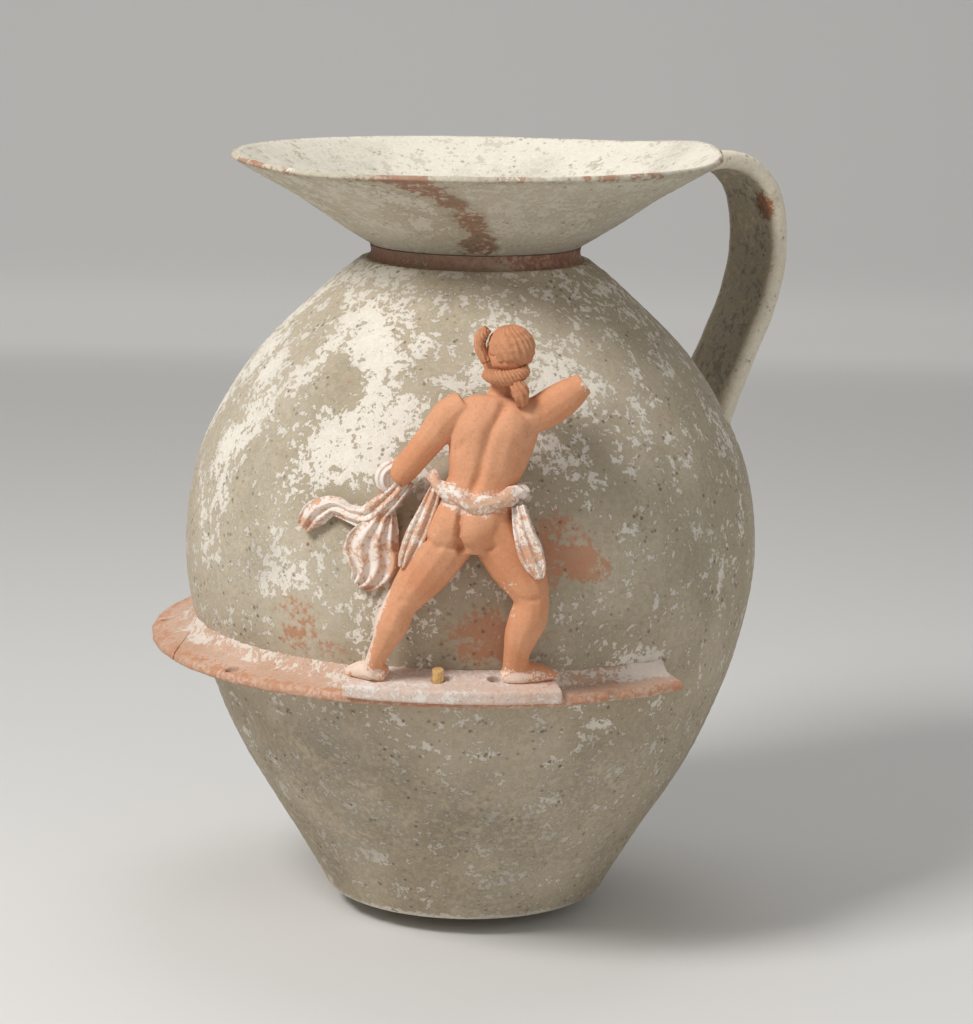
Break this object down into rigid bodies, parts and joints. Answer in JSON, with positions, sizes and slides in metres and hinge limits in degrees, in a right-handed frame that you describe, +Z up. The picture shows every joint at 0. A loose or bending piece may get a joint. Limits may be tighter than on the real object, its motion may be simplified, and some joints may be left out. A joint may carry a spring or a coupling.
{
  "type": "funnel jar",
  "caption": "Tall round-bodied clay jar with a wide funnel mouth, a strap handle, a peg shelf round its shoulder and a striding draped figure on a pegged plinth.",
  "frame": {"origin": "middle of the foot's flat underside, on the jar's axis", "axes": "+Z up along the jar's axis, -Y towards the front where the figure stands, +X to the viewer's right; the handle is 30 degrees behind +X"},
  "size_m": [0.6569, 0.6512, 0.771],
  "materials": {
    "body_slip": "flaking white slip over grey-beige clay",
    "funnel_slip": "worn white slip",
    "red_clay": "bare reddish clay",
    "handle_slip": "cream slip with dirt",
    "shelf_clay": "bare orange clay with white traces",
    "plinth_slip": "pinkish white slip",
    "figure_clay": "warm terracotta with white traces",
    "cloth_slip": "white slip over pink clay",
    "peg_wood": "smooth turned wood"
  },
  "bodies": {
    "jar": {"lower_body": "body_slip", "upper_body": "body_slip", "neck_ring": "red_clay", "funnel": "funnel_slip", "strap_handle": "handle_slip", "shelf_left": "shelf_clay", "shelf_front": "shelf_clay"},
    "figure": {"figure_plinth": "plinth_slip", "figure_torso": "figure_clay", "figure_head": "figure_clay", "left_arm": "figure_clay", "right_arm": "figure_clay", "right_leg": "figure_clay", "left_leg": "figure_clay", "hip_belt": "cloth_slip", "hip_drape_right": "cloth_slip", "hip_drape_left": "cloth_slip", "cloak_upper_lobe": "cloth_slip", "cloak_loop": "cloth_slip", "cloak_lower_lobe": "cloth_slip", "hair_cap": "figure_clay", "nape_roll": "figure_clay", "hanging_lock": "figure_clay", "side_curls": "figure_clay"},
    "peg": {"plinth_peg": "peg_wood"}
  },
  "joints": [
    {"name": "figure_lift", "type": "slide", "parent": "jar", "child": "figure", "axis": [-0.0211, -0.241, 0.9703], "range_m": [0, 0.04]},
    {"name": "peg_pull", "type": "slide", "parent": "jar", "child": "peg", "axis": [-0.0211, -0.241, 0.9703], "range_m": [0, 0.026]}
  ]
}
